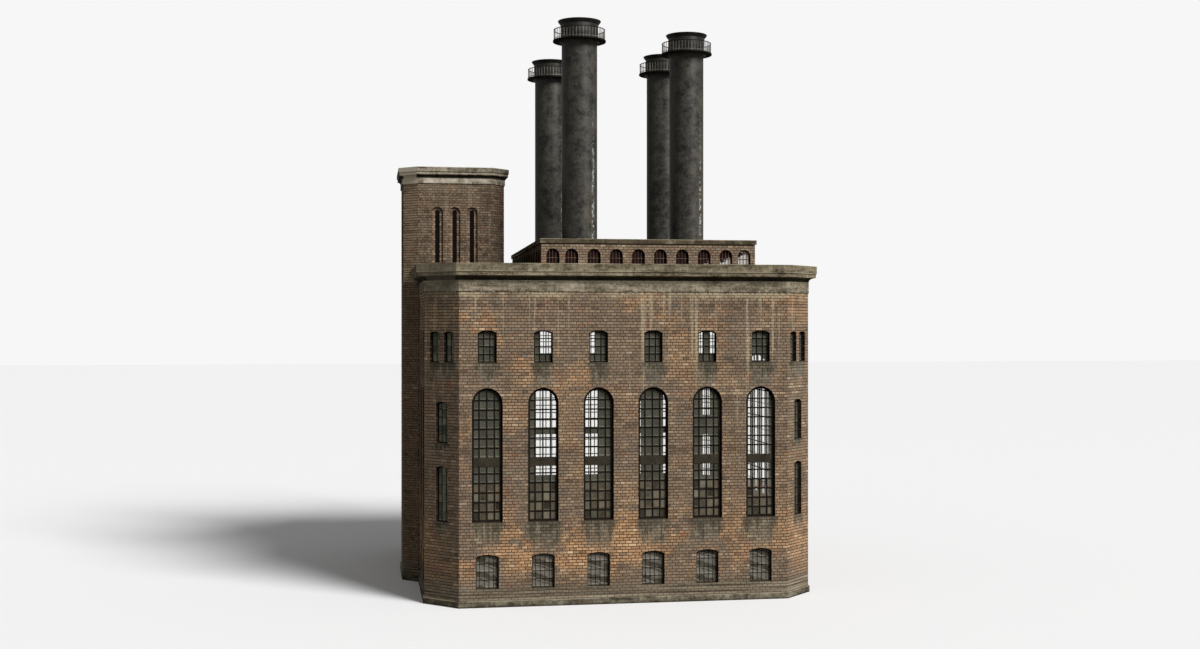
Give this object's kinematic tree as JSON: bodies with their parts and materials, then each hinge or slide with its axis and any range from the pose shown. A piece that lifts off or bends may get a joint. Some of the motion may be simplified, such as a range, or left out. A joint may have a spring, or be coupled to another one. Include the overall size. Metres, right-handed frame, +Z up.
{
  "type": "factory building",
  "caption": "Old brick power house with cut corners, tall arched windows, a heavy stone cornice, a square side tower, a set-back roof house and round steel chimneys with railed galleries.",
  "frame": {"origin": "centre of the main block's plan, on the ground", "axes": "+Z up, -Y out of the front wall, +X towards the right side wall"},
  "size_m": [28.223, 29.12, 39.48],
  "materials": {
    "brick": "weathered brown brick, rough",
    "stone": "weathered cut stone, stained",
    "concrete": "plain concrete",
    "steel_frame": "dark old paint",
    "panel": "dark sheet panel",
    "window_glass": "dusty clear glass",
    "chimney_steel": "dark weathered steel"
  },
  "bodies": {
    "root": {"front_wall": "brick", "back_wall": "brick", "right_wall_front": "brick", "right_wall_rear": "brick", "right_wall_centre": "brick", "left_wall": "brick", "corner_walls": "brick", "tower_front_wall": "brick", "tower_back_wall": "brick", "tower_left_wall": "brick", "tower_right_wall": "brick", "tower_corners": "brick", "roof_house_front_wall": "brick", "roof_house_back_wall": "brick", "roof_house_side_walls": "brick", "plinth": "stone", "tower_plinth": "stone", "frieze": "stone", "cornice": "stone", "tower_frieze": "stone", "tower_cornice": "stone", "roof_house_coping": "stone", "ground_floor": "concrete", "hall_floor": "concrete", "upper_floor": "concrete", "roof_slab": "concrete", "tower_roof": "concrete", "roof_house_roof": "concrete", "lower_window_frames": "steel_frame", "tall_window_frames": "steel_frame", "upper_window_frames": "steel_frame", "great_window_frame": "steel_frame", "roof_house_window_frames": "steel_frame", "tall_window_spandrels": "panel", "tower_slot_panels": "panel", "lower_window_glass": "window_glass", "tall_window_glass": "window_glass", "upper_window_glass": "window_glass", "great_window_glass": "window_glass", "roof_house_glass": "window_glass", "chimney_front_left": "chimney_steel", "chimney_back_left": "chimney_steel", "chimney_front_right": "chimney_steel", "chimney_back_right": "chimney_steel", "chimney_galleries": "chimney_steel", "chimney_railings": "chimney_steel"}
  },
  "joints": []
}
